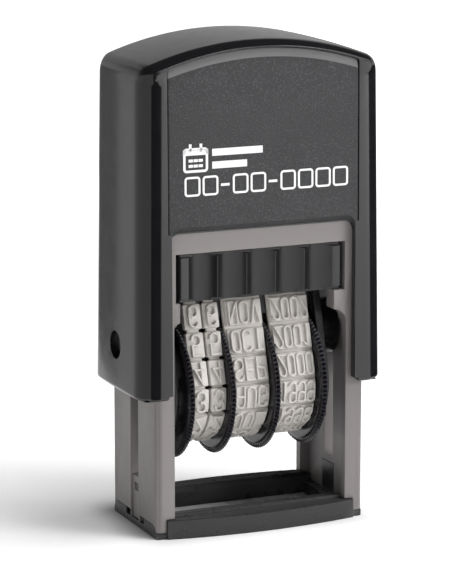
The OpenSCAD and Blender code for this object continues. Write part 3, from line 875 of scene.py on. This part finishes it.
def ink_cassette():
    """The cassette's fluted body, hollow from below."""
    low, high = box_mm("ink_cassette")
    half_w, half_d = high[0], high[1]
    flute_y = half_d - FLUTE_DEPTH
    z0, z1 = low[2], high[2]
    # each level's height, and how far it lies inside the box at the sides and at the face
    levels = [
        (z0, CASSETTE_EDGE, STEP_IN + CASSETTE_EDGE), (z0 + CASSETTE_EDGE, 0, STEP_IN),
        (z0 + STEP_H, 0, STEP_IN), (z0 + STEP_H + 0.02, 0, 0.1),
        (z0 + STEP_H + 0.1, 0, 0), (z1 - STEP_H - 0.1, 0, 0),
        (z1 - STEP_H - 0.02, 0, 0.1), (z1 - STEP_H, 0, STEP_IN),
        (z1 - CASSETTE_EDGE, 0, STEP_IN), (z1, CASSETTE_EDGE, STEP_IN + CASSETTE_EDGE),
    ]
    rings = []
    for z, side_in, face_in in levels:
        plan = cassette_outline(half_w - side_in, half_d - face_in, flute_y)
        rings.append([(x, y, z) for x, y in plan])
    tray = [
        (max(-TRAY_X, min(TRAY_X, x * 1.02)), TRAY_Y if y > 0 else -TRAY_Y)
        for x, y, z in rings[0]
    ]
    rings.insert(0, [(x, y, z0) for x, y in tray])
    rings.insert(0, [(x, y, TRAY_TOP_Z) for x, y in tray])
    verts, faces = sweep(rings, False)
    obj = even_normals(piece_from("ink_cassette_fluted", verts, faces, CASSETTE, 32))
    place(obj, "frame", "cassette_plastic", "ink_cassette")


# ---- thumbwheels ----

BEADS = 96
BEAD_R = 9.55           # foot of the beads round a wheel's rim
BEAD_HALF_W = 0.36
BEAD_STEPS = 6          # points along the rim for each bead
# a bead across the rim: place from side to side, share of the bead's height
BEAD_PROFILE = ((-1, 0), (-0.85, 0.5), (-0.5, 0.88), (0, 1), (0.5, 0.88), (0.85, 0.5), (1, 0))
DISC_T = {"day_wheel_tens": 1.1, "day_wheel_units": 0.75, "month_wheel": 0.95, "year_wheel": 1.05}
FACE_R = 9.0            # flat side of a disc
RIM_R = 9.35            # its rounded edge beside the beads
HUB_R = 6.8
BORE_R = 1.05
BORE_EDGE = 0.15


def thumbwheel(node, body):
    """A disc with a row of beads round its rim, on a plain hub beside it."""
    low, high = box_mm(node)
    disc_left = node == "day_wheel_tens"
    near = low[0] if disc_left else high[0]
    toward = 1 if disc_left else -1
    hub_end = high[0] if disc_left else low[0]
    step = near + toward * DISC_T[node]
    middle = (near + step) / 2
    rim_in, shoulder_in, shoulder_r = toward * 0.03, toward * 0.16, BEAD_R - 0.08
    bore_in = toward * BORE_EDGE
    # points round the half section: along the axle, radius, and share of a bead's height
    section = [(near, BORE_R + BORE_EDGE, 0), (near, FACE_R, 0), (near + rim_in, RIM_R, 0)]
    section += [(near + shoulder_in, shoulder_r, 0)]
    half_w = min(BEAD_HALF_W, DISC_T[node] / 2 - 0.05)
    section += [
        (middle + toward * across * half_w, BEAD_R, share) for across, share in BEAD_PROFILE
    ]
    section += [(step - shoulder_in, shoulder_r, 0), (step - rim_in, RIM_R, 0)]
    section += [(step, FACE_R, 0), (step, HUB_R, 0), (hub_end - toward * 0.1, HUB_R, 0)]
    section += [(hub_end, HUB_R - 0.1, 0), (hub_end, BORE_R + BORE_EDGE, 0)]
    section += [(hub_end - bore_in, BORE_R, 0), (near + bore_in, BORE_R, 0)]
    rings = []
    steps = BEADS * BEAD_STEPS
    for i in range(steps):
        t = 2 * math.pi * i / steps
        rise = (high[1] - BEAD_R) * (0.5 + 0.5 * math.cos(BEADS * t))
        ring = []
        for x, r, share in section:
            reach = r + share * rise
            ring.append((x, reach * math.cos(t), AXLE_Z + reach * math.sin(t)))
        rings.append(ring)
    verts, faces = sweep(rings, True)
    obj = even_normals(piece_from(node + "_beaded", verts, faces, WHEEL, 50))
    place(obj, body, "wheel_plastic", node)


# ---- return spring ----

def return_spring():
    """A coil with a close turn at each end."""
    low, high = box_mm("return_spring")
    wire_r = 0.45
    wire_sides = 12
    coil_r = high[0] - wire_r
    turns = 8
    steps = 36
    dead = 1.0
    z0, z1 = low[2] + wire_r, high[2] - wire_r
    rings = []
    for i in range(turns * steps + 1):
        t = i / steps
        lead = 2 * wire_r
        if t < dead:
            z = z0 + lead * t / dead * 0.5
        elif t > turns - dead:
            z = z1 - lead * (turns - t) / dead * 0.5
        else:
            z = z0 + 0.5 * lead + (z1 - z0 - lead) * (t - dead) / (turns - 2 * dead)
        a = 2 * math.pi * t
        ring = []
        for j in range(wire_sides):
            b = 2 * math.pi * j / wire_sides
            r = coil_r + wire_r * math.cos(b)
            ring.append((r * math.cos(a), r * math.sin(a), z + wire_r * math.sin(b)))
        rings.append(ring)
    verts, faces = sweep(rings, False)
    obj = piece_from("return_spring_coil", verts, faces, SPRING, 60)
    place(obj, "frame", "spring_steel", "return_spring")
    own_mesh(obj)


# ---- build the object ----

cap_shell()
panel("front_panel_textured", "front_panel", False)
panel("rear_panel_textured", "rear_panel", True)
panel_print()
place(rounded("inner_frame", FRAME, 0.1), "frame", "frame_plastic", "inner_frame")
place(rounded("base_foot", FOOT, 0.1), "frame", "foot_plastic", "base_foot")
ink_cassette()
place(rounded("ink_pad", FELT, 0.25, 3), "frame", "pad_felt", "ink_pad")
return_spring()
for cheek in ("left_cheek", "right_cheek"):
    place(rounded(cheek, CARRIER, 0.1), "carrier", "carrier_plastic", cheek)
place(rounded("platen_bar", PLATEN, 0.1), "carrier", "platen_plastic", "platen_bar")
place(rounded("wheel_axle", AXLE, 0.12), "carrier", "axle_steel", "wheel_axle")
for pin in ("left_pivot_pin", "right_pivot_pin"):
    place(rounded(pin, PIN, 0.12), "carrier", "pin_plastic", pin)
band("day_band_tens_type", "day_band_tens", day_text, 1.25, 0, True)
band("day_band_units_type", "day_band_units", day_text, 1.25, 0, True)
band("month_band_type", "month_band", month_text, 1.22, 0.5, False)
band("year_band_type", "year_band", year_text, 1.02, 0.42, False)
WHEELS = {
    "day_wheel_tens": "tens_wheel", "day_wheel_units": "units_wheel",
    "month_wheel": "month_wheel", "year_wheel": "year_wheel",
}
for node, body in WHEELS.items():
    thumbwheel(node, body)


# ---- floor, light and camera ----

PAINTED_SHADOW_BOX = (14.5, 8.5, 0)       # half sizes of the foot's middle; the floor's painted glow starts there, and the floor inside is left dark as a painted shadow
# painted light on the floor, a glow: distance where it starts and where it is full, in metres, and
# its strength
FLOOR_PAINTED_GLOWS = ((0.0, 0.007, 0.3), (0.01, 0.48, 0.55))


def floor():
    """White paper with a painted glow that fades out close round the foot, painting the stamp's
    shadow there.
    """
    half = 3000
    verts = [(-half, -half, 0), (half, -half, 0), (half, half, 0), (-half, half, 0)]
    mat = surface("floor_paper", (0.88, 0.88, 0.88), 0.65, grain=1.5, grain_depth=0.01, tone=0.01,
                  tone_size=80)
    tree = mat.node_tree
    last = tree.nodes.new("ShaderNodeTexCoord").outputs["Object"]
    box = tuple(c * MM for c in PAINTED_SHADOW_BOX)
    for operation, value in (("ABSOLUTE", None), ("SUBTRACT", box), ("MAXIMUM", (0, 0, 0))):
        step = tree.nodes.new("ShaderNodeVectorMath")
        step.operation = operation
        tree.links.new(last, step.inputs[0])
        if value:
            step.inputs[1].default_value = value
        last = step.outputs["Vector"]
    away = tree.nodes.new("ShaderNodeVectorMath")
    away.operation = "LENGTH"
    tree.links.new(last, away.inputs[0])
    both = tree.nodes.new("ShaderNodeMath")
    both.operation = "ADD"
    for i, (near, far, high) in enumerate(FLOOR_PAINTED_GLOWS):
        ranged = tree.nodes.new("ShaderNodeMapRange")
        ranged.interpolation_type = "SMOOTHSTEP"
        ranged.inputs["From Min"].default_value = near
        ranged.inputs["From Max"].default_value = far
        ranged.inputs["To Max"].default_value = high
        tree.links.new(away.outputs["Value"], ranged.inputs["Value"])
        tree.links.new(ranged.outputs["Result"], both.inputs[i])
    # the glow is painted light on the floor, left out round the foot as painted shadow
    tree.links.new(both.outputs["Value"], tree.nodes["Principled BSDF"].inputs["Emission Strength"])
    piece_from("floor", verts, [(0, 1, 2, 3)], mat)


def softbox(name, centre, target, width, height, power, lights_up):
    """A soft light that lights up either matt surfaces or gloss."""
    light = bpy.data.lights.new(name, "AREA")
    light.shape = "RECTANGLE"
    light.size = width * MM
    light.size_y = height * MM
    light.energy = power
    obj = bpy.data.objects.new(name, light)
    obj.location = Vector(centre) * MM
    obj.rotation_euler = (Vector(target) - Vector(centre)).to_track_quat("-Z", "Y").to_euler()
    obj.visible_glossy = lights_up == "gloss"
    obj.visible_diffuse = lights_up == "diffuse"
    bpy.context.scene.collection.objects.link(obj)


def flag(name, start, end, low, high, material):
    """A studio flag or card on edge between two places on the floor, seen only in gloss."""
    verts = [(*start, low), (*end, low), (*end, high), (*start, high)]
    obj = piece_from(name, verts, [(0, 1, 2, 3)], material)
    obj.visible_camera = False
    obj.visible_diffuse = False
    obj.visible_transmission = False
    obj.visible_shadow = False


def camera():
    """A long lens in front of the stamp, a little to its left and above it."""
    yaw = math.radians(23.25)
    pitch = math.radians(12.1)
    distance = 434.23
    aim_left, aim_z = 1.67, 33.166
    right = Vector((math.cos(yaw), -math.sin(yaw), 0))
    level = Vector((math.sin(yaw), math.cos(yaw), 0))
    ahead = level * math.cos(pitch) - Vector((0, 0, math.sin(pitch)))
    target = Vector((0, 0, aim_z)) - right * aim_left
    data = bpy.data.cameras.new("camera")
    data.sensor_fit = "AUTO"
    data.sensor_width = 36
    data.lens = 184.9315
    data.clip_start = 0.01
    data.clip_end = 20
    obj = bpy.data.objects.new("camera", data)
    obj.location = (target - ahead * distance) * MM
    obj.rotation_euler = ahead.to_track_quat("-Z", "Y").to_euler()
    bpy.context.scene.collection.objects.link(obj)
    bpy.context.scene.camera = obj


def studio_world():
    """Surroundings that are half bright low down and dim overhead."""
    world = bpy.data.worlds.new("studio")
    world.use_nodes = True
    tree = world.node_tree
    background = tree.nodes["Background"]
    background.inputs["Color"].default_value = (1, 1, 1, 1)
    coords = tree.nodes.new("ShaderNodeTexCoord")
    split = tree.nodes.new("ShaderNodeSeparateXYZ")
    ranged = tree.nodes.new("ShaderNodeMapRange")
    ranged.interpolation_type = "SMOOTHSTEP"
    ranged.inputs["From Min"].default_value = 0.2
    ranged.inputs["From Max"].default_value = 0.5
    ranged.inputs["To Min"].default_value = 0.5
    ranged.inputs["To Max"].default_value = 0.03
    tree.links.new(coords.outputs["Generated"], split.inputs["Vector"])
    tree.links.new(split.outputs["Z"], ranged.inputs["Value"])
    tree.links.new(ranged.outputs["Result"], background.inputs["Strength"])
    bpy.context.scene.world = world


def light():
    """Three soft lights, and the flags and cards that the gloss shows."""
    studio_world()
    softbox("key_light", (190, -130, 700), (0, 0, 20), 360, 360, 4.6, "diffuse")
    softbox("front_light", (660, -560, 330), (0, 0, 30), 300, 300, 4.9, "diffuse")
    softbox("edge_light", (95, -235, 79), (5, -10, 69), 260, 8, 0.075, "gloss")
    black = surface("flag_cloth", (0.002, 0.002, 0.002), 0.9, grain=1.0)
    dim = surface("dim_card", (0.01, 0.01, 0.01), 0.9, grain=1.0, glow=0.2)
    grey = surface("grey_card", (0.01, 0.01, 0.01), 0.9, grain=1.0, glow=0.38)
    pale = surface("pale_card", (0.01, 0.01, 0.01), 0.9, grain=1.0, glow=0.58)
    flag("front_left_flag", (-27.5, -22), (-12.5, -22), 0, 80, black)
    flag("left_pale_card", (-50, -60), (-50, 77), 0, 80, pale)
    flag("rear_left_dim_card", (-50, 77), (-50, 200), 0, 80, dim)
    flag("right_flag", (60, -38), (60, 200), 0, 62, black)
    flag("high_front_flag", (-40, -260), (420, -210), 86, 420, black)
    flag("rear_card", (-80, 300), (700, 300), -1, 215, grey)


floor()
light()
camera()
bpy.context.scene.view_settings.view_transform = "Standard"
